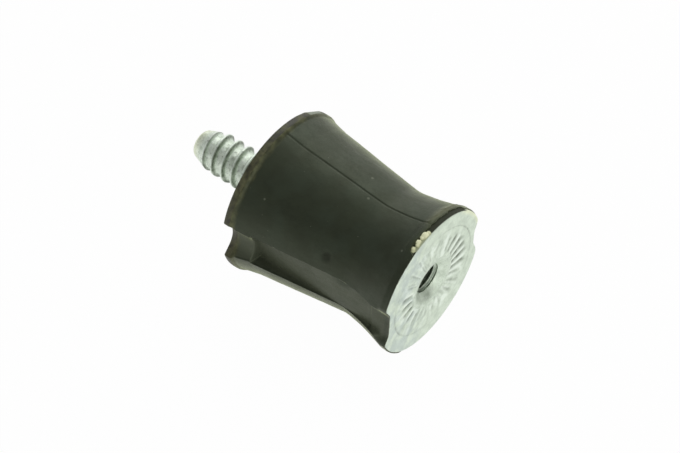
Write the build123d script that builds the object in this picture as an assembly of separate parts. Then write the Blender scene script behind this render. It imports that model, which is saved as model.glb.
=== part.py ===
from build123d import *
import os
from math import ceil, radians, tan

# A rubber anti-vibration mount, all sizes in millimetres.
# A waisted rubber body is moulded between two notched steel plates. One plate holds
# a tapped bush, the other a coarse thread-forming stud.
# The origin is the centre of the tapped face, on which the mount stands. +Z runs
# along the axis towards the stud. The two grooves face -Y and +Y.

# Overall
body_height = 26.5
stud_reach = 14.0

# Tapped plate, with trapezoid notches
tapped_plate_radius = 10.9
tapped_plate_thickness = 1.0
tapped_plate_chamfer = 0.25
tapped_notch_depth = 1.45
tapped_notch_floor_width = 4.2
tapped_notch_mouth_width = 7.0

# Stud plate, with round notches
stud_plate_radius = 12.35
stud_plate_thickness = 1.0
stud_plate_chamfer = 0.3
stud_notch_radius = 3.3
stud_notch_depth = 2.25

# Rubber body
lip_skin = 0.16
shoulder_height = 1.1
shoulder_skin = 0.09
shoulder_slope = 0.29
flare_height = 5.8
flare_radius = 9.84
waist_height = 8.8
waist_radius = 9.62
flange_start_height = 22.3
flange_start_radius = 11.4
stud_plate_overhang = 0.25
groove_width = 5.3
groove_step = 0.2
tapped_flange_depth = 3.0

# The moulded skin over the tapped plate's edge is torn off along this stretch
tear_start_angle = -26.0
tear_sweep_angle = 65.0

# A round vent mark in the body's surface
vent_mark_radius = 0.85
vent_mark_depth = 0.15
vent_mark_height = 11.3
vent_mark_angle = -61.5

# Tapped bush, M5, hexagonal inside the rubber so that it can't turn
bush_bore_radius = 2.1
bush_mouth_radius = 3.6
bush_mouth_depth = 1.05
bush_bore_depth = 7.5
bush_drill_angle = 59.0
bush_spigot_radius = 4.1
bush_across_flats = 9.0
bush_end_wall = 1.2

# Stud with a coarse thread, ST6.3, and a hexagonal head inside the rubber
thread_major_radius = 3.1
thread_core_radius = 2.45
thread_pitch = 1.814
thread_crest_width = 0.25
thread_flank_angle = 30.0
thread_start_angle = 123.0
stud_neck_radius = 2.9
stud_neck_length = 1.8
stud_shank_radius = 3.4
stud_taper_length = 2.2
stud_tip_radius = 2.05
stud_tip_chamfer = 0.35
stud_head_across_flats = 10.0
stud_head_thickness = 1.8

# How far a cutting tool runs past the surface that it cuts
overcut = 1.0
thread_overcut = 0.1

stud_plate_inner_height = body_height - stud_plate_thickness
cone_rise = flange_start_radius - waist_radius
cone_slope = cone_rise / (flange_start_height - waist_height)
tapped_notch_floor = tapped_plate_radius - tapped_notch_depth
stud_notch_floor = stud_plate_radius - stud_notch_depth
groove_floor = tapped_notch_floor - groove_step
bush_drill_tip = bush_bore_radius / tan(radians(bush_drill_angle))
groove_centre_angles = (-90, 90)


def tapped_notch():
    """The trapezoid that is cut out of the tapped plate, pointing along +X."""
    floor_half = tapped_notch_floor_width / 2
    mouth_half = tapped_notch_mouth_width / 2
    slope = (mouth_half - floor_half) / (tapped_plate_radius - tapped_notch_floor)
    outer_half = mouth_half + slope * overcut
    outer = tapped_plate_radius + overcut
    outline = Polygon(
        (tapped_notch_floor, -floor_half),
        (outer, -outer_half),
        (outer, outer_half),
        (tapped_notch_floor, floor_half),
        align=None,
    )
    return extrude(outline, tapped_plate_thickness)


def stud_notch(low, high):
    """The round scoop that is cut out of the stud plate and its rubber flange, along +X."""
    centre = stud_notch_floor + stud_notch_radius
    scoop = Pos(centre, 0, low) * Circle(stud_notch_radius)
    return extrude(scoop, high - low)


def on_both_sides(cutter):
    """The same cutter, made along +X, at both groove positions."""
    return [Rot(0, 0, angle) * cutter for angle in groove_centre_angles]


def make_tapped_plate():
    plate = extrude(Circle(tapped_plate_radius), tapped_plate_thickness)
    plate -= on_both_sides(tapped_notch())
    face_edges = plate.faces().sort_by(Axis.Z)[0].outer_wire().edges()
    plate = chamfer(face_edges, tapped_plate_chamfer)
    return plate - extrude(Circle(bush_spigot_radius), tapped_plate_thickness)


def make_stud_plate():
    disc = Pos(0, 0, stud_plate_inner_height) * Circle(stud_plate_radius)
    plate = extrude(disc, stud_plate_thickness)
    plate -= on_both_sides(stud_notch(stud_plate_inner_height, body_height))
    rim_edges = plate.faces().sort_by(Axis.Z)[-1].outer_wire().edges()
    plate = chamfer(rim_edges, stud_plate_chamfer)
    hole = Pos(0, 0, stud_plate_inner_height) * Circle(stud_shank_radius)
    return plate - extrude(hole, stud_plate_thickness)


def turned(*points):
    """A solid of revolution from the corners of its half section, as (radius, height)."""
    section = make_face(Polyline(*points, close=True))
    return revolve(Plane.XZ * section, Axis.Z)


def hexagon(across_flats):
    """A hexagon of this width across its flats."""
    return RegularPolygon(across_flats / 2, 6, major_radius=False)


def bush_outside():
    """The bush's outside, filled in, which is also its seat in the plate and the rubber."""
    bush_end = bush_mouth_depth + bush_bore_depth + bush_drill_tip + bush_end_wall
    spigot = extrude(Circle(bush_spigot_radius), tapped_plate_thickness)
    body_base = Pos(0, 0, tapped_plate_thickness) * hexagon(bush_across_flats)
    return spigot + extrude(body_base, bush_end - tapped_plate_thickness)


def bush_bore():
    """The countersunk blind hole, at the thread's inner size."""
    bore_end = bush_mouth_depth + bush_bore_depth
    return turned(
        (0, 0),
        (bush_mouth_radius, 0),
        (bush_bore_radius, bush_mouth_depth),
        (bush_bore_radius, bore_end),
        (0, bore_end + bush_drill_tip),
    )


def thread_groove(start_height, turns):
    """The helical groove between the stud's threads, from its core out past its crests."""
    depth = thread_major_radius - thread_core_radius
    slope = tan(radians(thread_flank_angle))
    root_half = (thread_pitch - thread_crest_width) / 2 - depth * slope
    outer_depth = depth + thread_overcut
    outer_half = root_half + outer_depth * slope
    path = Helix(pitch=thread_pitch, height=turns * thread_pitch, radius=thread_core_radius)
    section_plane = Plane(origin=path @ 0, x_dir=(1, 0, 0), z_dir=path % 0)
    section = section_plane * Polygon(
        (0, -root_half),
        (outer_depth, -outer_half),
        (outer_depth, outer_half),
        (0, root_half),
        align=None,
    )
    groove = sweep(section, path=path, is_frenet=True)
    return Pos(0, 0, start_height) * Rot(0, 0, thread_start_angle) * groove


def make_threaded_shank():
    """The stud outside its plate: a plain neck, the coarse thread and a tapered tip."""
    tip_height = body_height + stud_reach
    taper_start = tip_height - stud_taper_length
    neck_top = body_height + stud_neck_length
    neck_step = (thread_major_radius - stud_neck_radius) * tan(radians(thread_flank_angle))
    groove_start = neck_top + thread_pitch / 2
    turns = ceil((tip_height - groove_start) / thread_pitch)
    blank_length = stud_reach + 2 * thread_pitch
    blank = extrude(Pos(0, 0, body_height) * Circle(thread_major_radius), blank_length)
    threaded = blank - thread_groove(groove_start, turns)
    return threaded & turned(
        (0, body_height),
        (stud_neck_radius, body_height),
        (stud_neck_radius, neck_top),
        (thread_major_radius, neck_top + neck_step),
        (thread_major_radius, taper_start),
        (stud_tip_radius + stud_tip_chamfer, tip_height - stud_tip_chamfer),
        (stud_tip_radius, tip_height),
        (0, tip_height),
    )


def make_stud():
    head_bottom = stud_plate_inner_height - stud_head_thickness
    head_base = Pos(0, 0, head_bottom) * hexagon(stud_head_across_flats)
    head = extrude(head_base, stud_head_thickness)
    shank_base = Pos(0, 0, stud_plate_inner_height) * Circle(stud_shank_radius)
    shank = extrude(shank_base, stud_plate_thickness)
    return head + shank + make_threaded_shank()


def rubber_blank():
    """The waisted body as one turned solid, before its grooves are cut."""
    lip_height = tapped_plate_chamfer
    lip = (tapped_plate_radius + lip_skin, lip_height)
    shoulder_radius = tapped_plate_radius + shoulder_skin
    shoulder = (shoulder_radius, shoulder_height)
    flare = (flare_radius, flare_height)
    waist = (waist_radius, waist_height)
    flange_start = (flange_start_radius, flange_start_height)
    top = (stud_plate_radius - stud_plate_overhang, stud_plate_inner_height)
    outline = [
        Line((0, lip_height), lip),
        Line(lip, shoulder),
        Spline(shoulder, flare, waist, tangents=((-shoulder_slope, 1), (cone_slope, 1))),
        Line(waist, flange_start),
        Line(flange_start, top),
        Line(top, (0, stud_plate_inner_height)),
        Line((0, stud_plate_inner_height), (0, lip_height)),
    ]
    return revolve(Plane.XZ * make_face(outline), Axis.Z)


def groove_cutter(floor, low, high):
    """A flat-bottomed channel of the groove's width, along +X, between two heights."""
    depth = stud_plate_radius + overcut - floor
    channel = Pos(floor + depth / 2, 0, low) * Rectangle(depth, groove_width)
    return extrude(channel, high - low)


def skin_tear():
    """The stretch of skin that is missing beside the tapped plate's edge."""
    missing = Pos(tapped_plate_radius, 0) * Rectangle(
        overcut, tapped_plate_thickness, align=(Align.MIN, Align.MIN)
    )
    tear = revolve(Plane.XZ * missing, Axis.Z, revolution_arc=tear_sweep_angle)
    return Rot(0, 0, tear_start_angle) * tear


def vent_mark(surface_radius):
    """A shallow round recess in the body's side."""
    length = vent_mark_depth + overcut
    drill = Pos(surface_radius - vent_mark_depth, 0, 0) * Rot(0, 90, 0)
    mark = extrude(drill * Circle(vent_mark_radius), length)
    return Rot(0, 0, vent_mark_angle) * Pos(0, 0, vent_mark_height) * mark


def cone_radius_at(height):
    """The radius of the straight cone between the waist and the stud flange."""
    return waist_radius + cone_slope * (height - waist_height)


def make_rubber_body(inserts):
    body = rubber_blank()
    main_groove = groove_cutter(groove_floor, tapped_flange_depth, flange_start_height)
    tapped_end = groove_cutter(tapped_notch_floor, 0, tapped_flange_depth)
    stud_end = stud_notch(flange_start_height, stud_plate_inner_height)
    for cutter in (main_groove, tapped_end, stud_end):
        body -= on_both_sides(cutter)
    body -= vent_mark(cone_radius_at(vent_mark_height))
    body -= skin_tear()
    for insert in inserts:
        body -= insert
    return body


os.makedirs("parts", exist_ok=True)

tapped_plate = make_tapped_plate()
stud_plate = make_stud_plate()
threaded_bush = bush_outside() - bush_bore()
threaded_stud = make_stud()
rubber_body = make_rubber_body((tapped_plate, bush_outside(), threaded_stud))

nodes = {
    "rubber_body": rubber_body,
    "tapped_plate": tapped_plate,
    "threaded_bush": threaded_bush,
    "stud_plate": stud_plate,
    "threaded_stud": threaded_stud,
}
for name, solid in nodes.items():
    export_step(solid, f"parts/{name}.step")
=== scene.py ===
from math import asin, cos, pi, radians, sin

import bpy
import numpy as np
from mathutils import Matrix, Vector, noise


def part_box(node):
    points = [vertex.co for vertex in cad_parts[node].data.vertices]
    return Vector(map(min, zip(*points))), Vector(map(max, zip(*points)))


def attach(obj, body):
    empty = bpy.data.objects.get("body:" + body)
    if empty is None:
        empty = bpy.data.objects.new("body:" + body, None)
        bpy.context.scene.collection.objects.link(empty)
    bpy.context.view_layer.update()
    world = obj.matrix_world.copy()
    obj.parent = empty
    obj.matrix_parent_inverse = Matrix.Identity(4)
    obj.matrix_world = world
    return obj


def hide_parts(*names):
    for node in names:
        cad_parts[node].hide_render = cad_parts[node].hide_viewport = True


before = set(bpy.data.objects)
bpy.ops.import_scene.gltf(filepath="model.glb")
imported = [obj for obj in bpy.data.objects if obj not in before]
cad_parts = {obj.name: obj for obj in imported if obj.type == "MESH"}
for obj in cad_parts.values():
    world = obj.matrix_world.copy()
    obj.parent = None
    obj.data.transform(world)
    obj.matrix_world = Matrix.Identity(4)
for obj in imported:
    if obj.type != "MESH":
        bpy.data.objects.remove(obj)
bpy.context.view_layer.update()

# A rubber anti-vibration mount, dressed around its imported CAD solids. Lengths are in
# millimetres, and become metres when a mesh or object is made. The mount lies on its
# side, on a ground that both rims touch on the -X side, so +X points up.

MM = 0.001


def box_mm(node):
    """The lowest and highest corners of a CAD node, in millimetres."""
    low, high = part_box(node)
    return np.array(low) / MM, np.array(high) / MM


# Sizes that the frame gives
(_, _, lip_height), (rubber_top_radius, _, rubber_top) = box_mm("rubber_body")
_, (tapped_radius, _, tapped_thickness) = box_mm("tapped_plate")
_, (_, bush_half_flats, bush_end) = box_mm("threaded_bush")
_, (stud_plate_radius, _, body_height) = box_mm("stud_plate")
(_, _, stud_head_bottom), (_, stud_head_half_flats, stud_tip) = box_mm("threaded_stud")

# Rubber profile
lip_skin = 0.16
lip_rounding = 0.03
lip_rounding_height = 0.2
shoulder_height = 1.1
shoulder_skin = 0.09
shoulder_slope = 0.29
flare_height = 5.8
flare_radius = 9.84
flare_slope = 0.15
waist_height = 8.8
waist_radius = 9.62
flange_start_height = 22.3
flange_start_radius = 11.4
flange_blend = 0.6
rim_fillet_height = 0.55
rim_fillet_gap = 0.03

# Grooves and notches
groove_half_width = 2.65
groove_foot_rounding = 0.16
groove_wall_lean = 0.3
groove_step = 0.2
tapped_flange_depth = 3.0
ledge_half_height = 0.22
tapped_notch_depth = 1.45
tapped_notch_fade = (0.95, 4.2)
stud_notch_depth = 2.25
stud_notch_radius = 3.3
stud_notch_blend = (-0.3, 0.35)
scoop_edge_share = 0.97
scoop_edge_slope = 6
# How far a groove's own points reach, to each side of its middle
groove_zone_half = 5.2
# The tapped plate's notches by their angle. The plate sits slightly turned in the rubber,
# so their middles are shifted.
tapped_notches = {
    -90: {"floor": 9.35, "floor_half": 2.2, "slope": 0.65, "shift": -0.5, "rounding": 0.5},
    90: {"floor": 9.6, "floor_half": 1.3, "slope": 0.6, "shift": -0.7, "rounding": 1.2},
}
notch_floor_softness = 0.3
# How far the rubber reaches in behind the plate's edge at one end, and how far in its
# hidden flat starts at the other, as a share of its reach
seat_overlap = 0.05
crown_share = 0.97

# Rounding of the grooves' edges low down, higher up and at the stud plate, and the heights
# between which it changes: above the tapped notch, along the body and at the rim
low_edge_rounding = 0.3
high_edge_rounding = 0.16
stud_notch_rounding = 1.4
notch_rounding_heights = (1, 4)
edge_rounding_heights = (13, 18)
rim_rounding_heights = (rubber_top - 0.9, rubber_top + 0.1)

# Mould lines. The half of the mould on the +Y side has left its rubber slightly proud.
seam_half_width = 0.22
seam_depth = 0.06
mould_step = 0.045
mould_step_half_width = 0.06
# They and the rubber's waves fade out at both ends
lip_fade = (0.6, 1.8)
rim_fade = (rubber_top - 0.6, rubber_top)

# The round vent mark, with a soft edge between two shares of its radius
vent_mark_angle = -61.5
vent_mark_height = 11.3
vent_mark_radius = 0.85
vent_mark_depth = 0.07
vent_mark_edge = (0.35, 1.2)

# The torn skin beside the tapped plate: its middle and half width in degrees, its height,
# how far up the rubber follows it, and how far its edge keeps from the plate's two faces
tear_middle = 6.5
tear_half = 32.5
tear_height = 0.86
tear_follow_height = 2.6
skin_edge_gap = 0.02
# Where the skin's edge lies elsewhere, above the tapped face: angles and heights
skin_edge = (
    (-180, 0.3), (-153, 0.3), (-144, 0.02), (-26, 0.02), (39, 0.45), (75, 0.3), (180, 0.3),
)

# Bush and thread of the tapped hole
bush_spigot_radius = 4.1
bush_mouth_radius = 3.6
bush_mouth_depth = 1.05
bush_bore_radius = 2.1
bush_root_radius = 2.48
bush_bore_end = 8.55
bush_drill_tip = bush_bore_end + 1.26
bush_pitch = 0.8
bush_root_share = 0.12
bush_flank_share = 0.3
bush_thread_runout = 0.8
bush_thread_start = 0.12
# The countersink's rounded edge: radius and height
bush_mouth_edge = ((bush_mouth_radius - 0.06, 0.05), (bush_mouth_radius + 0.03, 0.0))
# The side of its countersink with painted shade: middle and half width in degrees
bush_shade_middle = -150
bush_shade_half = 100
bush_column_count = 96
bush_rows_per_turn = 24
# The softness of a thread's corners, as a share of the pitch
thread_softness = 0.02
# A ring this close to the axis stands for one point
axis_gap = 0.01

# Stud
stud_major_radius = 3.1
stud_core_radius = 2.45
stud_pitch = 1.814
stud_neck_radius = 2.9
stud_neck_top = body_height + 1.8
stud_thread_start = (stud_neck_top - 0.3, stud_neck_top + 0.6)
stud_shank_radius = 3.4
stud_groove_angle = 123.0
stud_thread_end = (stud_tip - 2.5, stud_tip - 1.6)
stud_taper_start = stud_tip - 3.1
stud_taper_slope = 0.35
stud_bare_inset = 0.03
stud_tip_rounding = 0.25
stud_tip_rounding_height = 0.35
# The tip's rounded edge: radius and height
stud_tip_edge = ((1.7, stud_tip - 0.005), (1.05, stud_tip))
stud_head_thickness = 1.8
stud_column_count = 144
stud_rows_per_turn = 40
stud_root_share = 0.407 / stud_pitch
stud_flank_share = 0.375 / stud_pitch

# Angles round the axis, in degrees from +X
notch_angles = (-90, 90)
seam_angles = (0, 180)

# Unevenness, as layers of noise: strength, size, seed and octaves
tear_noise = ((0.14, 1.1, 3.0, 3), (0.08, 0.4, 8.0, 2))
skin_edge_noise = ((0.02, 0.9, 5.0, 3),)
seam_noise = ((0.05, 3.0, 2.0, 2),)
rubber_noise = ((0.03, 4.5, 1.0, 2), (0.012, 1.1, 4.0, 2))
rim_noise = ((0.05, 2.6, 6.0, 2), (0.02, 1.0, 2.0, 2))
burr_noise = ((0.4, 0.4, 7.0, 2),)
stud_noise = ((0.03, 0.8, 3.0, 2),)

tapped_notch_floor = tapped_radius - tapped_notch_depth
groove_floor = tapped_notch_floor - groove_step
stud_notch_floor = stud_plate_radius - stud_notch_depth


def smooth(value, low, high):
    """0 below low, 1 above high, and an even S-shaped step between them."""
    share = np.clip((np.asarray(value, float) - low) / (high - low), 0, 1)
    return share * share * (3 - 2 * share)


def mix(first, second, share):
    return first + (second - first) * share


def bump_at(value, centre, half_width):
    """1 at the centre, falling smoothly to 0 at half a width to each side."""
    return 1 - smooth(np.abs(np.asarray(value, float) - centre), 0, half_width)


def soft_min(first, second, rounding):
    """The smaller of two lengths, with the corner between them rounded off."""
    closeness = np.clip(0.5 + 0.5 * (second - first) / rounding, 0, 1)
    return mix(second, first, closeness) - rounding * closeness * (1 - closeness)


def angle_from(angles, centre):
    """Angles measured from a centre, in degrees from -180 to 180."""
    return (np.asarray(angles, float) - centre + 180) % 360 - 180


def around(points):
    """Each point's angle round the axis, in degrees, and its distance from it."""
    x, y = points[..., 0], points[..., 1]
    return np.degrees(np.arctan2(y, x)), np.hypot(x, y)


def uneven(points, layers):
    """Smooth noise at each point, added up from its layers."""
    flat = np.asarray(points, float).reshape(-1, 3)
    total = np.zeros(len(flat))
    for strength, size, seed, octaves in layers:
        offset = Vector((seed, seed * 1.7, seed * 0.6))
        values = [noise.fractal(Vector(p) / size + offset, 1.0, 2.0, octaves) for p in flat]
        total += strength * np.array(values)
    return total.reshape(np.shape(points)[:-1])


def stations(*stretches):
    """Numbers that run through (start, end, count) stretches, each end once."""
    runs = [np.linspace(start, end, count, endpoint=False) for start, end, count in stretches]
    return np.append(np.concatenate(runs), stretches[-1][1])


# Meshes

# Edges that turn by more degrees than this are sharp
sharp_edge_angle = 38


def ring_mesh(name, rings, closed_section=False, unmarked=(0, 0), **marks):
    """A closed surface through rings of points, each ring with the same point count.
    A closed section joins the last ring to the first. Otherwise both ends are capped.
    The marks have a value for each point, apart from the unmarked first and last rings."""
    rings = np.asarray(rings, float)
    ring_count, column_count = rings.shape[:2]
    points = rings.reshape(-1, 3)
    index = np.arange(ring_count * column_count).reshape(ring_count, column_count)
    following = np.roll(index, -1, axis=1)
    lower, upper = slice(0, ring_count - 1), slice(1, ring_count)
    quads = np.stack([index[lower], following[lower], following[upper], index[upper]], -1)
    faces = quads.reshape(-1, 4).tolist()
    if closed_section:
        joint = np.stack([index[-1], following[-1], following[0], index[0]], -1)
        faces += joint.tolist()
    else:
        for end in (0, -1):
            centre = len(points)
            points = np.vstack([points, rings[end].mean(axis=0)])
            pairs = zip(index[end].tolist(), following[end].tolist())
            faces += [(centre, b, a) if end == 0 else (centre, a, b) for a, b in pairs]
    mesh = bpy.data.meshes.new(name)
    mesh.from_pydata((points * MM).tolist(), [], faces)
    for key, values in marks.items():
        flat = np.zeros(len(points), np.float32)
        flat[: index.size] = np.pad(values, (unmarked, (0, 0))).reshape(-1)
        mesh.attributes.new(key, "FLOAT", "POINT").data.foreach_set("value", flat)
    mesh.validate()
    mesh.shade_smooth()
    mesh.set_sharp_from_angle(angle=radians(sharp_edge_angle))
    return mesh


def placed(name, data):
    """A new object in the scene for a mesh, a lamp or a camera."""
    made = bpy.data.objects.new(name, data)
    bpy.context.scene.collection.objects.link(made)
    return made


def piece(name, mesh, material, node):
    """An object for the mesh, in place of a CAD node and with its slot's finish."""
    made = placed(name, mesh)
    mesh.materials.append(material)
    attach(made, "root")
    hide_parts(node)


def ring_at(turn, reach, height):
    """A ring of points round the axis, from angles in radians, distances and heights."""
    spread = np.ones(len(turn))
    return np.column_stack([reach * np.cos(turn), reach * np.sin(turn), height * spread])


def rings_at(turn, *levels):
    """Rings from pairs of a distance and a height."""
    return [ring_at(turn, reach, height) for reach, height in levels]


def hexagon_reach(half_flats, turn):
    """The distance from the axis to the side of a hexagon with a flat that faces +Y."""
    from_flat = np.asarray(turn) % (pi / 3) - pi / 6
    return half_flats / np.cos(from_flat)


# The rubber body


def body_radius(height):
    """The radius of the moulded body, away from its grooves."""
    heights = np.maximum(height, lip_height)
    cone_slope = (flange_start_radius - waist_radius) / (flange_start_height - waist_height)
    knots = (lip_height, shoulder_height, flare_height, waist_height)
    radii = (tapped_radius + lip_skin, tapped_radius + shoulder_skin, flare_radius, waist_radius)
    slopes = (-shoulder_slope, -shoulder_slope, -flare_slope, cone_slope)
    curved = hermite(heights, knots, radii, slopes)
    cone = waist_radius + cone_slope * (heights - waist_height)
    outer = np.where(heights < waist_height, curved, cone)
    flange_slope = (rubber_top_radius - flange_start_radius) / (rubber_top - flange_start_height)
    above_flange_start = heights - flange_start_height
    flange = flange_start_radius + flange_slope * above_flange_start
    flared = mix(outer, flange, smooth(above_flange_start, -flange_blend, flange_blend))
    rounded = lip_rounding * (1 - smooth(height, 0, lip_rounding_height))
    fillet_reach = stud_plate_radius - rim_fillet_gap - rubber_top_radius
    fillet = fillet_reach * smooth(height, rubber_top - rim_fillet_height, rubber_top)
    return flared - rounded + fillet


def hermite(values, knots, levels, slopes):
    """A smooth curve through knots, with the given slope at each."""
    out = np.zeros_like(values)
    for i in range(len(knots) - 1):
        width = knots[i + 1] - knots[i]
        share = np.clip((values - knots[i]) / width, 0, 1)
        square, cube = share**2, share**3
        bend = (cube - 2 * square + share) * slopes[i] + (cube - square) * slopes[i + 1]
        curve = mix(levels[i], levels[i + 1], 3 * square - 2 * cube) + width * bend
        inside = (values >= knots[i]) & (values <= knots[i + 1])
        out = np.where(inside, curve, out)
    return out


def trapezoid_depth(side, turn):
    """The tapped plate's notch at this angle: the distance from the axis across its width."""
    notch = tapped_notches[turn]
    beside = np.abs(side - notch["shift"]) - notch["floor_half"]
    risen = (beside + np.sqrt(beside**2 + notch_floor_softness**2)) / 2
    return notch["floor"] + notch["slope"] * risen


def channel_depth(side, floor):
    """A flat floor between nearly upright walls."""
    past_wall = np.abs(side) - groove_half_width
    wall = smooth(past_wall, -groove_foot_rounding, groove_wall_lean)
    return floor + wall * (stud_plate_radius - floor)


def scoop_depth(side):
    """The stud plate's round notch: the distance from the axis across its width."""
    inside = np.sqrt(np.maximum(stud_notch_radius**2 - np.square(side), 0))
    centre = stud_notch_floor + stud_notch_radius
    past_edge = np.maximum(np.abs(side) - scoop_edge_share * stud_notch_radius, 0)
    return centre - inside + scoop_edge_slope * past_edge


def edge_rounding(height, turn):
    """The rounding of the groove's edges, which is softer near both plates."""
    rounding = mix(low_edge_rounding, high_edge_rounding, smooth(height, *edge_rounding_heights))
    past_notch = smooth(height, *notch_rounding_heights)
    rounding = mix(tapped_notches[turn]["rounding"], rounding, past_notch)
    return mix(rounding, stud_notch_rounding, smooth(height, *rim_rounding_heights))


def groove_depth(side, height, turn):
    """The distance of the groove's surface from the axis."""
    over_notch = trapezoid_depth(side, turn) + lip_skin
    past_notch = smooth(height, *tapped_notch_fade)
    tapped_end = mix(over_notch, channel_depth(side, tapped_notch_floor), past_notch)
    main = mix(over_notch, channel_depth(side, groove_floor), past_notch)
    ledge = smooth(height - tapped_flange_depth, -ledge_half_height, ledge_half_height)
    stud_end = smooth(height - flange_start_height, *stud_notch_blend)
    return mix(mix(tapped_end, main, ledge), scoop_depth(side), stud_end)


def outline(radius, height, depth_at, rounding_at):
    """One horizontal outline of points, counterclockwise from the -Y groove: a groove,
    an arc, a groove and an arc. A groove's depth and the rounding of its edges are
    functions of its angle."""
    edge = asin(groove_zone_half / radius)
    span = pi - 2 * edge
    points = []
    for turn in notch_angles:
        c, s = cos(radians(turn)), sin(radians(turn))
        circle = np.sqrt(np.maximum(radius**2 - np.square(groove_sides), 0))
        depth = soft_min(depth_at(groove_sides, height, turn), circle, rounding_at(turn))
        points.append(np.column_stack([depth * c - groove_sides * s, depth * s + groove_sides * c]))
        start = radians(turn) + edge
        along = start + span * arc_shares[1:-1]
        points.append(radius * np.column_stack([np.cos(along), np.sin(along)]))
    flat = np.vstack(points)
    return np.column_stack([flat, np.full(len(flat), height)])


# Points across a groove lie closest at its corners, between these distances
corner_start, corner_end = 2.3, 3.1
groove_sides = stations(
    (-groove_zone_half, -corner_end, 16), (-corner_end, -corner_start, 14),
    (-corner_start, corner_start, 20), (corner_start, corner_end, 14),
    (corner_end, groove_zone_half, 16),
)
# Points along an arc lie closest at the mould line in its middle
arc_shares = stations((0, 0.44, 56), (0.44, 0.56, 28), (0.56, 1, 56))
# Levels lie closest at the lip, the ledge, the flange's start and the rim
rubber_heights = stations(
    (0, 1.2, 16), (1.2, 2.7, 12), (2.7, 3.3, 8), (3.3, 21.9, 108),
    (21.9, 22.8, 12), (22.8, 24.8, 14), (24.8, rubber_top, 16),
)


def torn_height(ring):
    """The height of the skin's lower edge. It is torn away beside part of the plate."""
    angles = around(ring)[0]
    torn = 1 - smooth(np.abs(angle_from(angles, tear_middle)), tear_half - 1, tear_half + 1)
    highest = tapped_thickness - skin_edge_gap
    tear = np.minimum(tear_height + uneven(ring, tear_noise), highest)
    ragged = skin_edge_gap + uneven(ring, skin_edge_noise)
    covered = np.interp(angles, *zip(*skin_edge)) + ragged
    return np.maximum(mix(covered, tear, torn), 0)


def seam_marks(rings):
    """1 along the two mould parting lines, 0 away from them."""
    angles, reach = around(rings)
    wander = uneven(rings, seam_noise)
    found = np.zeros(rings.shape[:2])
    for turn in seam_angles:
        offset = np.radians(angle_from(angles, turn)) * reach
        found = np.maximum(found, bump_at(offset + wander, 0, seam_half_width))
    return found


def make_rubber():
    rings = np.array([
        outline(float(body_radius(h)), h, groove_depth, lambda turn, h=h: edge_rounding(h, turn))
        for h in rubber_heights
    ])
    reach = around(rings)[1]
    seam, mark = seam_marks(rings), vent_mark(rings)
    # The skin's edge moves up where it is torn, and the rows above follow it
    lowest = torn_height(rings[0])
    height = rings[..., 2] + lowest * (1 - smooth(rings[..., 2], 0, tear_follow_height))
    between_ends = smooth(height, *lip_fade) * (1 - smooth(height, *rim_fade))
    proud_half = smooth(rings[..., 1], -mould_step_half_width, mould_step_half_width)
    relief = uneven(rings, rubber_noise) + mould_step * proud_half - seam_depth * seam
    change = between_ends * relief - vent_mark_depth * mark
    rings[..., :2] *= (1 + change / reach)[..., None]
    rings[..., 2] = height
    seat, crown = rubber_seat(rings[0]), rubber_crown(rings[-1])
    return ring_mesh(
        "rubber_skin", [*seat, *rings, *crown], unmarked=(len(seat), len(crown)),
        seam=seam, mark=mark, bloom=groove_bloom(rings),
    )


def groove_bloom(rings):
    """How much painted light lies on the rubber, lightening the grooves: none outside the grooves,
    most near their upper end. It is left off beside the tapped plate and along the floor's
    ledge, which leaves a painted shade line there."""
    side, depth, height = np.abs(rings[..., 0]), np.abs(rings[..., 1]), rings[..., 2]
    circle = np.sqrt(np.maximum(body_radius(height) ** 2 - side**2, 0))
    below = smooth(circle - depth, 0.1, 0.35) * (1 - smooth(side, 3.0, 3.6)) * (depth > 5)
    beside_ledge = 1 - bump_at(height, tapped_flange_depth, 0.3)
    return below * beside_ledge * smooth(height, 0.5, 1.1) * (1 + 0.4 * smooth(height, 13, 19))


def rubber_seat(lowest_ring):
    """The rubber's hidden end: round the bush, across under the plate, up its edge."""
    turn = np.radians(around(lowest_ring)[0])
    around_bush = hexagon_reach(bush_half_flats, turn)
    edge = outline(
        tapped_radius - seat_overlap, tapped_thickness,
        lambda side, _, notch: trapezoid_depth(side, notch) - seat_overlap,
        lambda _: low_edge_rounding,
    )
    seat = np.column_stack([edge[:, :2], lowest_ring[:, 2]])
    return [*rings_at(turn, (around_bush, bush_end), (around_bush, tapped_thickness)), seat]


def rubber_crown(highest_ring):
    """The rubber's other hidden end, with a seat for the stud's head."""
    turn = np.radians(around(highest_ring)[0])
    around_head = hexagon_reach(stud_head_half_flats, turn)
    inner = highest_ring.copy()
    inner[:, :2] *= crown_share
    return [inner, *rings_at(turn, (around_head, rubber_top), (around_head, stud_head_bottom))]


def vent_mark(points):
    """1 in the small round recess of the body's side, 0 away from it."""
    angles, reach = around(points)
    across = np.radians(angle_from(angles, vent_mark_angle)) * reach
    away = np.hypot(across, points[..., 2] - vent_mark_height)
    return 1 - smooth(away / vent_mark_radius, *vent_mark_edge)


# The stud plate

# A shallow flat on the rim, bare and painted lighter as a highlight: its angle and half width in
# degrees
rim_flat_angle = 35.0
rim_flat_half = 9.0
# Corners of the rim's section: how far in from the full radius, the height and how rough
rim_section = (
    (0.5, rubber_top, 0), (0.02, rubber_top, 1), (0.0, rubber_top + 0.05, 1),
    (0.0, rubber_top + 0.3, 1), (0.0, rubber_top + 0.55, 1), (0.02, body_height - 0.2, 1),
    (0.08, body_height - 0.08, 0.8), (0.17, body_height - 0.02, 0.5), (0.3, body_height, 0.2),
    (0.8, body_height, 0),
)


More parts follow.
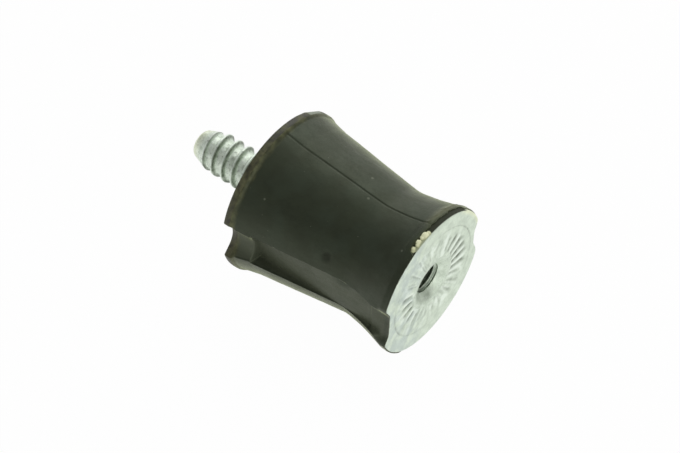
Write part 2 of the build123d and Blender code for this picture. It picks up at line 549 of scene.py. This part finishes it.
def make_stud_plate():
    rings = np.array([
        outline(
            stud_plate_radius - inset, height,
            lambda side, _, turn, inset=inset: scoop_depth(side) - inset,
            lambda _: stud_notch_rounding,
        )
        for inset, height, _ in rim_section
    ])
    angles, reach = around(rings)
    on_rim = np.array([roughness for _, _, roughness in rim_section])[:, None]
    worn = 1 + np.minimum(uneven(rings, rim_noise), 0) * on_rim / reach
    from_flat = angle_from(angles, rim_flat_angle)
    across = np.cos(np.radians(np.clip(from_flat, -rim_flat_half, rim_flat_half)))
    chord = cos(radians(rim_flat_half)) / across
    flat = (np.abs(from_flat) < rim_flat_half) * (on_rim > 0)
    rings[..., :2] *= np.where(flat, np.minimum(worn, chord), worn)[..., None]
    outer = rings[-1]
    turn = np.radians(angles[-1])
    hole = rings_at(turn, (stud_shank_radius, body_height), (stud_shank_radius, rubber_top))
    spread = [mix(outer, hole[0], share) for share in (0.25, 0.5, 0.75)]
    inner = spread + hole
    return ring_mesh(
        "stud_disc", [*rings, *inner], closed_section=True, unmarked=(0, len(inner)),
        bare=flat * smooth(rim_flat_half - np.abs(from_flat), 0, 2.5),
    )


# The tapped plate

# Serrations: angle, distances from the axis at which each starts and ends, how deep it is
# pressed, and half its width in degrees
serrations = (
    (-171, 4.5, 6.6, 0.3, 6), (-156, 4.5, 6.8, 0.3, 6), (-140, 4.5, 7.1, 0.55, 6),
    (-123, 4.3, 6.8, 0.8, 6), (-106, 4.2, 6.9, 1.0, 6), (-90, 4.2, 6.9, 1.0, 5.5),
    (-74, 4.3, 7.3, 0.8, 5), (-57, 4.2, 7.2, 0.35, 3), (-41, 4.2, 8.7, 0.35, 2.5),
    (-26, 4.2, 8.5, 0.35, 2.5), (-9, 4.8, 7.4, 0.25, 3), (5, 4.8, 7.2, 0.25, 4),
    (18, 4.8, 7.2, 0.3, 5), (31, 4.6, 7.4, 0.55, 5), (45, 4.4, 7.8, 1.0, 6),
    (60, 4.3, 7.8, 1.0, 6.5), (75, 4.3, 7.9, 1.15, 6.5), (89, 4.2, 8.0, 1.15, 6.5),
    (103, 4.2, 8.0, 1.0, 6), (116, 4.2, 7.6, 0.5, 4.5), (129, 4.2, 8.7, 0.5, 3.5),
    (142, 4.2, 8.3, 0.45, 4), (159, 4.3, 7.2, 0.35, 4.5), (174, 4.4, 6.8, 0.25, 5),
)
serration_depth = 0.14
# How far a serration takes to deepen at its inner end and fade at its outer end
serration_start = 0.5
serration_fade = 1.1
# A faint turned ring, a little off centre, which is worn away between two stretches
turned_ring_radius = 8.47
turned_ring_offset = 0.27
turned_ring_half_width = 0.22
turned_ring_depth = 0.06
turned_ring_stretches = (-110, 65)
turned_ring_reach = 75
turned_ring_worn = 0.2
# Burrs on the rim, where the rubber skin is torn away: angle, height and half size
rim_burrs = (
    (-6.8, 0.42, 0.36), (-9.6, 0.62, 0.55), (-12.6, 0.6, 0.42), (-16.4, 0.66, 0.46),
    (-18.6, 0.5, 0.36), (-22.2, 0.64, 0.34), (-24.0, 0.45, 0.28),
)
# How far they stand out, as a share of their size, and the low ridge that joins them: its
# first and last angle, the degrees in which it rises, its top and how far it stands out
burr_share = 0.6
ridge_angles = (-24.5, -5)
ridge_rise = 1.5
ridge_top = 0.6
ridge_depth = 0.06
# The rim's first and last row and their count, and the rounded edge between rim and face,
# by how far in each row lies and how high
rim_rows = (0.92, 0.14, 12)
face_edge = ((0.02, 0.07), (0.06, 0.02), (0.14, 0.0))
hidden_edge_inset = 0.02
# The face's rows lie closest between these radii, where the turned ring runs
ring_zone_radius = 8.95
serrated_radius = 7.9
face_column_count = 900


def plate_reach(angles, inset):
    """The distance from the axis to the plate's edge, in each direction."""
    radius = tapped_radius - inset
    reach = np.full(len(angles), radius)
    for turn in notch_angles:
        away = np.radians(angle_from(angles, turn))
        facing = np.abs(away) < radians(45)
        # The notch's edge is found by halving the stretch in which it lies
        low, high = np.zeros(len(angles)), np.full(len(angles), radius + 2)
        for _ in range(30):
            middle = (low + high) / 2
            notch = trapezoid_depth(middle * np.sin(away), turn) - inset
            beyond = middle * np.cos(away) > notch
            high = np.where(beyond, middle, high)
            low = np.where(beyond, low, middle)
        rounding = tapped_notches[turn]["rounding"]
        reach = np.where(facing, soft_min(reach, high, rounding), reach)
    return reach


def pressed(radius, angles, shift=0):
    """How far each point of the face lies down in a serration, from 0 to 1. A shift of 1
    gives the raised edges beside the serrations instead."""
    found = np.zeros(len(angles))
    for angle, start, end, strength, half_width in serrations:
        begun = smooth(radius, start, start + serration_start)
        along = begun * (1 - smooth(radius, end - serration_fade, end))
        centre = angle + shift * half_width
        valley = bump_at(angle_from(angles, centre), 0, half_width)
        found = np.maximum(found, strength * along * valley)
    return found


def turned_ring(radius, angles):
    """1 in the turned ring, less where it has worn away."""
    centre = turned_ring_radius + turned_ring_offset * np.sin(np.radians(angles))
    kept = np.zeros(len(angles))
    for middle in turned_ring_stretches:
        kept = np.maximum(kept, bump_at(angle_from(angles, middle), 0, turned_ring_reach))
    return mix(turned_ring_worn, 1, kept) * bump_at(radius - centre, 0, turned_ring_half_width)


def make_tapped_plate():
    angles = np.linspace(-180, 180, face_column_count, endpoint=False)
    turn = np.radians(angles)
    blank = np.zeros(len(angles))
    rings, marks = [], {"burr": [], "soil": [], "shine": []}

    def add(reach, height, burr=blank, soil=blank, shine=blank):
        rings.append(ring_at(turn, reach, height))
        for key, row in (("burr", burr), ("soil", soil), ("shine", shine)):
            marks[key].append(row)

    add(plate_reach(angles, hidden_edge_inset), tapped_thickness)
    for height in stations(rim_rows):
        raised = rim_lumps(angles, height)
        add(plate_reach(angles, 0) + raised, height, raised)
    for inset, height in face_edge:
        raised = 0.5 * rim_lumps(angles, height)
        add(plate_reach(angles, inset) + raised, height, raised)
    outer = plate_reach(angles, 0.3)
    for share in (0, 0.3, 0.65):
        add(mix(outer, ring_zone_radius, share), 0.0)
    rows = ((ring_zone_radius, serrated_radius, 16), (serrated_radius, bush_spigot_radius, 42))
    for radius in stations(*rows):
        valley, ring = pressed(radius, angles), turned_ring(radius, angles)
        depth = serration_depth * valley + turned_ring_depth * ring
        # Painted shade in the serrations and the turned ring, and a painted highlight on the edges
        # beside them
        valley_shade, edge_highlight = np.maximum(valley, 0.45 * ring), pressed(radius, angles, shift=1)
        add(radius, depth, soil=valley_shade, shine=edge_highlight)
    add(bush_spigot_radius, tapped_thickness)
    return ring_mesh("face_disc", rings, closed_section=True, **marks)


def rim_lumps(angles, height):
    """Bare metal burrs on the plate's rim, where the rubber skin is torn away."""
    places = ring_at(np.radians(angles), tapped_radius, height)
    ragged = 1 + uneven(places, burr_noise)
    first, last = ridge_angles
    begun = smooth(angles, first, first + ridge_rise)
    ended = smooth(angles, last - ridge_rise, last)
    raised = ridge_depth * begun * (1 - ended) * (height < ridge_top)
    for centre, level, size in rim_burrs:
        along = np.radians(angle_from(angles, centre)) * tapped_radius
        away = np.hypot(along, height - level) / (size * ragged)
        raised = np.maximum(raised, burr_share * size * np.sqrt(np.clip(1 - away**2, 0, 1)))
    return raised


# The tapped bush


def from_root(turns):
    """How far above the middle of a thread's root, in turns from -0.5 to 0.5."""
    return (np.asarray(turns, float) + 0.5) % 1 - 0.5


def thread_depth(turns, root_share, flank_share):
    """A thread's depth from 0 at its crest to 1 at its root. Turns count from the
    middle of the root, and the shares are of the pitch, to each side of that middle."""
    flank_start = root_share - thread_softness
    flank_end = root_share + flank_share + thread_softness
    return 1 - smooth(np.abs(from_root(turns)), flank_start, flank_end)


def make_bush():
    turn = np.linspace(0, 2 * pi, bush_column_count, endpoint=False)
    around_bush = hexagon_reach(bush_half_flats, turn)
    rings = rings_at(
        turn, (bush_spigot_radius, 0.0), (bush_spigot_radius, tapped_thickness),
        (around_bush, tapped_thickness), (around_bush, bush_end), (axis_gap, bush_end),
        (axis_gap, bush_drill_tip), (bush_bore_radius, bush_bore_end),
    )
    row_gap = bush_pitch / bush_rows_per_turn
    for height in np.arange(bush_bore_end, bush_thread_start, -row_gap):
        turns = height / bush_pitch - turn / (2 * pi)
        depth = thread_depth(turns, bush_root_share, bush_flank_share)
        runout = 1 - smooth(height, bush_bore_end - bush_thread_runout, bush_bore_end)
        reach = mix(bush_bore_radius, bush_root_radius, depth * runout)
        mouth = mix(bush_mouth_radius, bush_bore_radius, np.clip(height / bush_mouth_depth, 0, 1))
        rings.append(ring_at(turn, np.maximum(reach, mouth), height))
    rings += rings_at(turn, *bush_mouth_edge)
    # The bore gets painted shade, and so does one side of its countersink
    heights = np.array([ring[0, 2] for ring in rings])[:, None]
    from_shade = angle_from(np.degrees(turn), bush_shade_middle)
    shaded_side = 0.5 * bump_at(from_shade, 0, bush_shade_half)
    soil = np.maximum(smooth(heights, 0.8, 2.0), shaded_side * smooth(heights, -0.1, 0.5))
    return ring_mesh("tapped_bush", rings, closed_section=True, soil=soil)


# The stud


def stud_reach_at(turn, height):
    """The stud's radius round one level: neck, thread, taper and rounded tip."""
    begun = smooth(height, *stud_thread_start)
    ended = smooth(height, *stud_thread_end)
    depth = thread_depth(thread_turns(turn, height), stud_root_share, stud_flank_share)
    crest = mix(stud_neck_radius, stud_major_radius, begun)
    core = mix(stud_neck_radius, stud_core_radius, begun)
    taper = stud_major_radius - stud_taper_slope * max(height - stud_taper_start, 0)
    reach = mix(np.minimum(mix(crest, core, depth), taper), taper - stud_bare_inset, ended)
    from_tip = np.clip((stud_tip - height) / stud_tip_rounding_height, 0, 1)
    rounding = stud_tip_rounding * (1 - np.sqrt(from_tip))
    return reach - rounding + begun * uneven(ring_at(turn, stud_major_radius, height), stud_noise)


def thread_turns(turn, height):
    """Turns of the stud's groove at each point, whole in the middle of the groove."""
    groove_start = stud_neck_top + stud_pitch / 2
    return (height - groove_start) / stud_pitch - (turn - radians(stud_groove_angle)) / (2 * pi)


# Dark spots on the thread: angle, height and half size
stud_spots = (
    (-30, 33.8, 0.45), (-68, 33.2, 0.55), (-46, 33.0, 0.4), (-8, 35.6, 0.35), (-12, 38.6, 0.25),
    (-20, 35.2, 0.3), (-75, 37.6, 0.3), (-52, 37.2, 0.25), (-95, 36.9, 0.3),
)


def flank_soil(turn, height):
    """1 along the thread's flanks that face the plate, as painted shade, and on dark spots."""
    begun = smooth(height, stud_neck_top - 0.3, stud_neck_top + 0.4)
    ended = smooth(height, stud_tip - 1.7, stud_tip - 1.2)
    flank_middle = stud_root_share + 0.65 * stud_flank_share
    found = bump_at(from_root(thread_turns(turn, height)), flank_middle, 0.13)
    found = begun * (1 - ended) * found
    for angle, level, size in stud_spots:
        along = np.radians(angle_from(np.degrees(turn), angle)) * stud_major_radius
        found = np.maximum(found, 0.7 * bump_at(np.hypot(along, height - level), 0, size))
    return found


def crest_highlight(turn, height):
    """1 on the thread's crests, which get a painted highlight."""
    away = np.abs(from_root(thread_turns(turn, height)))
    begun = smooth(height, stud_neck_top, stud_neck_top + 0.6)
    return begun * smooth(away, stud_root_share + 0.6 * stud_flank_share, 0.5)


def make_stud():
    turn = np.linspace(0, 2 * pi, stud_column_count, endpoint=False)
    around_head = hexagon_reach(stud_head_half_flats, turn)
    head_top = stud_head_bottom + stud_head_thickness
    hidden = rings_at(
        turn, (around_head, stud_head_bottom), (around_head, head_top),
        (stud_shank_radius, head_top), (stud_shank_radius, body_height),
    )
    heights = np.arange(body_height, stud_tip - 0.02, stud_pitch / stud_rows_per_turn)
    threaded = [ring_at(turn, stud_reach_at(turn, h), h) for h in heights]
    tip = rings_at(turn, *stud_tip_edge)
    return ring_mesh(
        "rolled_stud", hidden + threaded + tip, unmarked=(len(hidden), len(tip)),
        soil=[flank_soil(turn, h) for h in heights],
        shine=[crest_highlight(turn, h) for h in heights],
    )


# Materials


class Nodes:
    """Builds the node tree of a material or of the world."""

    def __init__(self, owner, output_kind="ShaderNodeOutputMaterial"):
        self.owner = owner
        owner.use_nodes = True
        self.tree = owner.node_tree
        self.tree.nodes.clear()
        self.output = self.tree.nodes.new(output_kind)
        self.coordinates = self.tree.nodes.new("ShaderNodeTexCoord").outputs
        values = {0: self.coordinates["Object"], "Scale": 1 / MM}
        self.place = self.node("ShaderNodeVectorMath", values, operation="SCALE").outputs[0]

    def put(self, socket, value):
        if hasattr(value, "is_linked"):
            self.tree.links.new(value, socket)
        elif value is not None:
            socket.default_value = value

    def node(self, kind, values=(), **settings):
        made = self.tree.nodes.new(kind)
        for key, value in settings.items():
            setattr(made, key, value)
        for key, value in dict(values).items():
            self.put(made.inputs[key], value)
        return made

    def math(self, operation, first, *others):
        """The operation's result for these values, taken one after another."""
        for other in others:
            values = {0: first, 1: other}
            first = self.node("ShaderNodeMath", values, operation=operation).outputs[0]
        return first

    def times(self, *factors):
        return self.math("MULTIPLY", *factors)

    def plus(self, *terms):
        return self.math("ADD", *terms)

    def largest(self, *values):
        return self.math("MAXIMUM", *values)

    def noise(self, features_per_mm, detail, place=None):
        values = {"Vector": place or self.place, "Scale": features_per_mm, "Detail": detail}
        return self.node("ShaderNodeTexNoise", values).outputs[0]

    def range(self, value, low, high, to_low=0.0, to_high=1.0, kind="LINEAR"):
        values = {"From Min": low, "From Max": high, "To Min": to_low, "To Max": to_high}
        values["Value"] = value
        return self.node("ShaderNodeMapRange", values, interpolation_type=kind).outputs[0]

    def within(self, value, rise, fall):
        """1 between the two stretches in which it rises to 1 and falls back to 0."""
        return self.times(self.range(value, *rise), self.range(value, *fall, 1.0, 0.0))

    def blend(self, share, first, second):
        made = self.node("ShaderNodeMix", data_type="RGBA")
        self.put(made.inputs[0], share)
        self.put(made.inputs[6], first)
        self.put(made.inputs[7], second)
        return made.outputs[2]

    def layers(self, colour, *above):
        """A colour with others over it, each given by its share and its tone."""
        for share, covering in above:
            colour = self.blend(share, colour, covering)
        return colour

    def mark(self, name):
        return self.node("ShaderNodeAttribute", attribute_name=name).outputs["Fac"]

    def split(self, vector):
        return self.node("ShaderNodeSeparateXYZ", {"Vector": vector}).outputs

    def around(self):
        """The angle round the axis in degrees, the distance from it and the height."""
        x, y, height = self.split(self.place)
        angle = self.times(self.math("ARCTAN2", y, x), 180 / pi)
        square = self.plus(self.times(x, x), self.times(y, y))
        return angle, self.math("POWER", square, 0.5), height

    def stretched(self, scale):
        values = {"Vector": self.place, "Scale": scale}
        return self.node("ShaderNodeMapping", values).outputs[0]

    def bump(self, height, strength, distance):
        values = {"Height": height, "Strength": strength, "Distance": distance * MM}
        return self.node("ShaderNodeBump", values).outputs[0]

    def surface(self, **values):
        shader = self.node("ShaderNodeBsdfPrincipled")
        for key, value in values.items():
            self.put(shader.inputs[key.replace("_", " ")], value)
        return self.finish(shader.outputs[0])

    def finish(self, shader):
        self.tree.links.new(shader, self.output.inputs["Surface"])
        return self.owner


def tone(red, green, blue):
    return (red, green, blue, 1.0)


RUBBER_DARK = tone(0.007, 0.0095, 0.0055)
RUBBER_PALE = tone(0.014, 0.019, 0.011)
RUBBER_HAZE = tone(0.018, 0.026, 0.018)
RUBBER_PAINTED_LIGHT = tone(0.048, 0.054, 0.036)
RUBBER_DUST = tone(0.16, 0.17, 0.13)
MARK_DARK = tone(0.004, 0.005, 0.003)
COAT_DARK = tone(0.028, 0.027, 0.011)
COAT_PALE = tone(0.115, 0.116, 0.052)
COAT_OLIVE = tone(0.02, 0.026, 0.007)
ZINC_BRIGHT = tone(0.71, 0.8, 0.67)
ZINC_DULL = tone(0.54, 0.62, 0.51)
ZINC_CLEAN_AND_HIGHLIGHT = tone(0.88, 0.96, 0.86)
ZINC_DIRT_AND_SHADE = tone(0.08, 0.1, 0.06)
ZINC_STAINED = tone(0.36, 0.42, 0.34)
ZINC_BLUISH = tone(0.5, 0.58, 0.58)
METAL_YELLOWED_AND_HIGHLIGHT = tone(0.95, 0.97, 0.64)
METAL_CREVICE_SHADE = tone(0.4, 0.43, 0.22)
STUD_BRIGHT = tone(0.92, 1.0, 0.88)
STUD_DULL = tone(0.66, 0.75, 0.63)

# Bits of dust stuck to the rubber: angle, height and radius
dust_specks = ((14.5, 12.5, 0.14), (-4.0, 10.7, 0.12), (-46.0, 22.3, 0.1), (-27.5, 1.9, 0.1))


def rubber_material():
    n = Nodes(bpy.data.materials.new("moulded_rubber"))
    angle, _, height = n.around()
    clouds = n.noise(0.35, 4.0)
    grain = n.noise(4.0, 5.0)
    haze = n.range(n.noise(0.22, 5.0), 0.46, 0.62, 0.0, 0.7)
    patchy = n.range(n.noise(0.5, 3.0), 0.3, 0.7, 0.6, 1.0)
    specks = n.range(n.noise(2.6, 2.0), 0.76, 0.78)
    for speck_angle, level, size in dust_specks:
        turn, reach = radians(speck_angle), float(body_radius(level))
        ends = {0: n.place, 1: (reach * cos(turn), reach * sin(turn), level)}
        away = n.node("ShaderNodeVectorMath", ends, operation="DISTANCE").outputs["Value"]
        specks = n.largest(specks, n.range(away, 2 * size, size))
    # The bonding coat creeps over the flange's edge
    edge = n.plus(height, n.noise(0.5, 2.0))
    coat = n.range(edge, rubber_top - 0.25, rubber_top + 0.35)
    coat_tone = n.blend(n.range(n.noise(0.9, 4.0), 0.35, 0.7), COAT_DARK, COAT_PALE)
    # It has run over the torn edge at the other end too, more thinly higher up
    ragged = n.plus(height, n.times(n.noise(0.7, 3.0), 1.2))
    thin = n.times(n.within(angle, (-4, 8), (34, 44)), n.range(ragged, 3.0, 2.1, 0.0, 0.6))
    thick = n.times(n.within(angle, (-27, -20), (36, 40)), n.range(ragged, 1.9, 1.5))
    colour = n.layers(
        RUBBER_DARK,
        (n.range(clouds, 0.35, 0.65), RUBBER_PALE),
        (n.range(grain, 0.4, 0.75, 0.0, 0.45), RUBBER_PALE),
        (haze, RUBBER_HAZE),
        # Painted light lightens the grooves, with a painted shade line along the ledge
        (n.times(n.mark("bloom"), patchy), RUBBER_PAINTED_LIGHT),
        (n.times(specks, 0.5), RUBBER_DUST),
        # Along the mould lines the crease is painted darker, as shade
        (n.times(n.mark("seam"), 0.4), RUBBER_DARK),
        (n.times(n.mark("mark"), 0.9), MARK_DARK),
        (coat, coat_tone),
        (thin, COAT_PALE),
        (thick, COAT_OLIVE),
    )
    streaks = n.noise(1.0, 4.0, n.stretched((1.6, 1.6, 0.3)))
    roughness = n.plus(
        n.range(grain, 0.3, 0.7, 0.33, 0.49), n.range(clouds, 0.35, 0.65, 0.0, 0.09),
        n.range(streaks, 0.35, 0.65, 0.0, 0.07), n.times(n.mark("mark"), 0.3),
    )
    relief = n.plus(n.times(grain, 0.6), n.noise(12.0, 2.0))
    return n.surface(
        Base_Color=colour, Roughness=roughness, Normal=n.bump(relief, 0.45, 0.03),
        Specular_IOR_Level=0.6, Specular_Tint=tone(0.89, 1.0, 0.70),
        Sheen_Weight=0.85, Sheen_Roughness=0.3, Sheen_Tint=tone(0.91, 1.0, 0.62),
    )


def zinc_material(name, tones, patchiness, soiling, brushed, metallic, bump_strength):
    """Zinc in two tones. Brushed says how fine its scratches are along each axis."""
    n = Nodes(bpy.data.materials.new(name))
    bright, dull = tones
    patches = n.noise(1.7, 2.0)
    fine = n.noise(6.0, 4.0)
    patchy = n.range(n.noise(1.3, 4.0), 0.3, 0.62, 0.45, 1.0)
    # The zinc has yellowed a little at the stud's tip
    yellowing_and_highlight = n.range(n.around()[2], stud_tip - 1.6, stud_tip - 0.4, 0.0, 0.4)
    colour = n.layers(
        bright,
        (n.range(n.noise(0.9, 5.0), 0.35, 0.65), dull),
        (n.range(patches, 0.5, 0.56, 0.0, patchiness), ZINC_CLEAN_AND_HIGHLIGHT),
        (n.range(patches, 0.42, 0.34, 0.0, soiling), ZINC_STAINED),
        (n.range(fine, 0.45, 0.7, 0.0, 0.5), dull),
        # A painted highlight on the stud's crests
        (n.times(n.mark("shine"), 0.8), ZINC_CLEAN_AND_HIGHLIGHT),
        (n.range(n.noise(2.4, 3.0), 0.58, 0.68, 0.0, soiling), ZINC_DIRT_AND_SHADE),
        # Painted shade on the stud's flanks and in the bush's bore, with the stud's dark spots
        (n.times(n.mark("soil"), patchy, 0.9), ZINC_DIRT_AND_SHADE),
        (yellowing_and_highlight, METAL_YELLOWED_AND_HIGHLIGHT),
    )
    scratches = n.noise(1.0, 3.0, n.stretched(brushed))
    roughness = n.range(n.plus(fine, scratches), 0.7, 1.3, 0.36, 0.56)
    relief = n.plus(scratches, patches, n.times(fine, 0.7))
    return n.surface(
        Base_Color=colour, Metallic=metallic, Roughness=roughness,
        Normal=n.bump(relief, bump_strength, 0.08),
    )


def face_material():
    n = Nodes(bpy.data.materials.new("pressed_zinc_face"))
    angle, radius, height = n.around()
    x, y, _ = n.split(n.place)
    fine = n.noise(5.0, 4.0)
    # Noise that is drawn out along the radius, like the pressed serrations
    out_x, out_y = (n.math("DIVIDE", n.times(side, 6.0), radius) for side in (x, y))
    drawn_out = {0: out_x, 1: out_y, 2: n.times(radius, 0.5)}
    patches = n.noise(1.0, 3.0, n.node("ShaderNodeCombineXYZ", drawn_out).outputs[0])
    inside = n.range(radius, 7.4, 8.4, 1.0, 0.15)
    patchy = n.range(n.noise(0.8, 3.0), 0.35, 0.65, 0.4, 0.85)
    stained = n.times(n.range(y, -1.0, -4.0), n.range(n.noise(0.4, 3.0), 0.4, 0.6, 0.0, 0.45))
    # The torn stretch of the rim is coated, apart from its burrs and its lowest edge, and
    #     a painted highlight lies on the face's rounded edge beside it
    burr = n.range(n.mark("burr"), 0.02, 0.08)
    # The burrs are painted darker in their crevices and lighter on their tops, as shade and
    # highlight
    burr_light_and_shade = n.blend(n.range(n.mark("burr"), 0.08, 0.22), METAL_CREVICE_SHADE, METAL_YELLOWED_AND_HIGHLIGHT)
    on_rim = n.range(radius, tapped_radius - 0.3, tapped_radius - 0.1)
    coat = n.times(
        on_rim, n.range(height, 0.04, 0.12), n.within(angle, (-40, -36), (39, 42)),
        n.range(burr, 1.0, 0.0),
    )
    yellowing_and_highlight = n.times(n.within(angle, (30, 42), (76, 90)), n.range(radius, 10.2, 10.8, 0.0, 0.55))
    # Pressed metal between the serrations is uneven, with small bright and dark patches. A
    #     faint bluish stain lies on the -Y half. Painted shade lies in the serrations and the
    #     turned ring, and a painted highlight on the edges beside them.
    colour = n.layers(
        ZINC_BRIGHT,
        (n.range(n.noise(0.8, 5.0), 0.4, 0.6, 0.0, 0.6), ZINC_DULL),
        (n.range(fine, 0.45, 0.75, 0.0, 0.35), ZINC_DULL),
        (n.times(n.range(patches, 0.52, 0.64, 0.0, 0.7), inside), ZINC_CLEAN_AND_HIGHLIGHT),
        (n.times(n.range(patches, 0.46, 0.34, 0.0, 0.5), inside), ZINC_STAINED),
        (stained, ZINC_BLUISH),
        (n.times(n.mark("shine"), 0.8), ZINC_CLEAN_AND_HIGHLIGHT),
        (n.times(n.mark("soil"), patchy), ZINC_DIRT_AND_SHADE),
        (yellowing_and_highlight, METAL_YELLOWED_AND_HIGHLIGHT),
        (coat, COAT_OLIVE),
        (burr, burr_light_and_shade),
    )
    metallic = n.range(n.largest(coat, n.times(burr, 0.9)), 1.0, 0.0, 0.0, 0.9)
    roughness = n.plus(n.range(fine, 0.3, 0.7, 0.38, 0.54), n.times(coat, 0.3))
    return n.surface(
        Base_Color=colour, Metallic=metallic, Roughness=roughness,
        Normal=n.bump(n.plus(fine, n.times(patches, 2.0)), 0.5, 0.04),
    )


def coated_material():
    n = Nodes(bpy.data.materials.new("bonding_coat"))
    _, radius, height = n.around()
    blotches = n.noise(0.8, 4.0)
    coat = n.blend(n.range(blotches, 0.38, 0.66), COAT_DARK, COAT_PALE)
    metal = n.blend(n.range(n.noise(0.9, 5.0), 0.35, 0.65), ZINC_BRIGHT, ZINC_DULL)
    # The flat outer face is bare zinc with coat round its edge
    ragged = n.plus(radius, n.times(n.noise(1.1, 4.0), 1.6))
    inside = n.range(ragged, stud_plate_radius - 0.3, stud_plate_radius - 0.9)
    bare = n.times(inside, n.range(height, body_height - 0.08, body_height - 0.03))
    # The flat on the rim shows bare zinc, lighter also as a painted highlight
    bare = n.largest(bare, n.times(n.mark("bare"), 0.4))
    colour = n.blend(bare, coat, metal)
    roughness = n.range(blotches, 0.3, 0.7, 0.42, 0.62)
    return n.surface(
        Base_Color=colour, Metallic=bare, Roughness=roughness, Normal=n.bump(blotches, 0.5, 0.06)
    )


# Pieces

bush_zinc = zinc_material(
    "machined_zinc", (ZINC_BRIGHT, ZINC_DULL), patchiness=0.25, soiling=0.15,
    brushed=(0.6, 5.0, 0.6), metallic=0.9, bump_strength=0.2,
)
stud_zinc = zinc_material(
    "rolled_zinc", (STUD_BRIGHT, STUD_DULL), patchiness=0.8, soiling=0.4,
    brushed=(1.0, 1.0, 4.0), metallic=0.7, bump_strength=0.8,
)
piece("rubber_skin", make_rubber(), rubber_material(), "rubber_body")
piece("stud_disc", make_stud_plate(), coated_material(), "stud_plate")
piece("face_disc", make_tapped_plate(), face_material(), "tapped_plate")
piece("tapped_bush", make_bush(), bush_zinc, "threaded_bush")
piece("rolled_stud", make_stud(), stud_zinc, "threaded_stud")


# Stage, light and camera

floor_half = 1500.0
# Where the ground touches the two rims
floor_contacts = (
    Vector((-stud_plate_radius, 0, body_height - 0.5)),
    Vector((-tapped_radius - lip_skin, 0, 0.6)),
)
ground_white = tone(0.9, 0.9, 0.88)
ground_glow_share = 0.98


def make_floor():
    """A plain white ground that both rims touch. It can't be seen from behind."""
    upper, lower = floor_contacts
    across, along = Vector((0, floor_half, 0)), (upper - lower).normalized() * floor_half
    # In this order, its front faces up
    signs = ((-1, -1), (1, -1), (1, 1), (-1, 1))
    corners = [((upper + lower) / 2 + across * i + along * k) * MM for i, k in signs]
    mesh = bpy.data.meshes.new("ground")
    mesh.from_pydata(corners, [], [(0, 1, 2, 3)])
    floor = placed("ground", mesh)
    mesh.materials.append(floor_material())


def seen_directly(n):
    """1 for rays that come from the camera, a mirror-like surface or clear material."""
    path = n.node("ShaderNodeLightPath").outputs
    return n.largest(path["Is Camera Ray"], path["Is Glossy Ray"], path["Is Transmission Ray"])


def floor_material():
    n = Nodes(bpy.data.materials.new("white_ground"))
    matt = n.node("ShaderNodeBsdfDiffuse", {"Color": ground_white}).outputs[0]
    glow = n.node("ShaderNodeEmission", {"Color": tone(1, 1, 1), "Strength": 1.0}).outputs[0]
    share = n.times(seen_directly(n), ground_glow_share)
    front = n.node("ShaderNodeMixShader", {0: share, 1: matt, 2: glow}).outputs[0]
    behind = n.node("ShaderNodeNewGeometry").outputs["Backfacing"]
    clear = n.node("ShaderNodeBsdfTransparent").outputs[0]
    both = n.node("ShaderNodeMixShader", {0: behind, 1: front, 2: clear}).outputs[0]
    return n.finish(both)


# Brightness of the surround at the horizon, half way up and overhead
horizon_level = 1.0
middle_level = 0.33
overhead_level = 0.55


def make_world():
    """A white surround that is darker half way up, where +X is up."""
    n = Nodes(bpy.data.worlds.new("white_surround"), "ShaderNodeOutputWorld")
    rise = n.split(n.coordinates["Generated"])["X"]
    low = n.range(rise, -0.05, 0.3, horizon_level, middle_level, "SMOOTHSTEP")
    high = n.range(rise, 0.6, 0.9, 0.0, overhead_level - middle_level, "SMOOTHSTEP")
    values = {"Strength": n.plus(low, high)}
    bpy.context.scene.world = n.finish(n.node("ShaderNodeBackground", values).outputs[0])


def area_lamp(name, place, width, power):
    """A soft square lamp that faces the mount. The power is in watts."""
    light = bpy.data.lights.new(name, "AREA")
    light.size = width * MM
    light.energy = power
    lamp = placed(name, light)
    aim = Vector((0, 0, body_height / 2)) - Vector(place)
    turn = aim.to_track_quat("-Z", "Y")
    lamp.matrix_world = Matrix.LocRotScale(Vector(place) * MM, turn, None)


camera_place = Vector((220.612, -156.244, -98.876))
camera_forward = Vector((-0.75144, 0.53212, 0.39009))
camera_up = Vector((0.65902, 0.58042, 0.47833))
camera_lens = 113.52
sensor_width = 36.0


def make_camera():
    data = bpy.data.cameras.new("camera")
    data.lens = camera_lens
    data.sensor_width = sensor_width
    data.clip_start = 0.01
    data.clip_end = 20.0
    camera = placed("camera", data)
    back = -camera_forward.normalized()
    right = camera_up.cross(back).normalized()
    up = back.cross(right)
    turn = Matrix((right, up, back)).transposed().to_4x4()
    camera.matrix_world = Matrix.Translation(camera_place * MM) @ turn
    bpy.context.scene.camera = camera


make_floor()
make_world()
area_lamp("high_lamp", (350, 360, 180), width=520, power=1.3)
area_lamp("face_lamp", (180, -120, -420), width=360, power=0.7)
make_camera()
bpy.context.scene.view_settings.view_transform = "Standard"
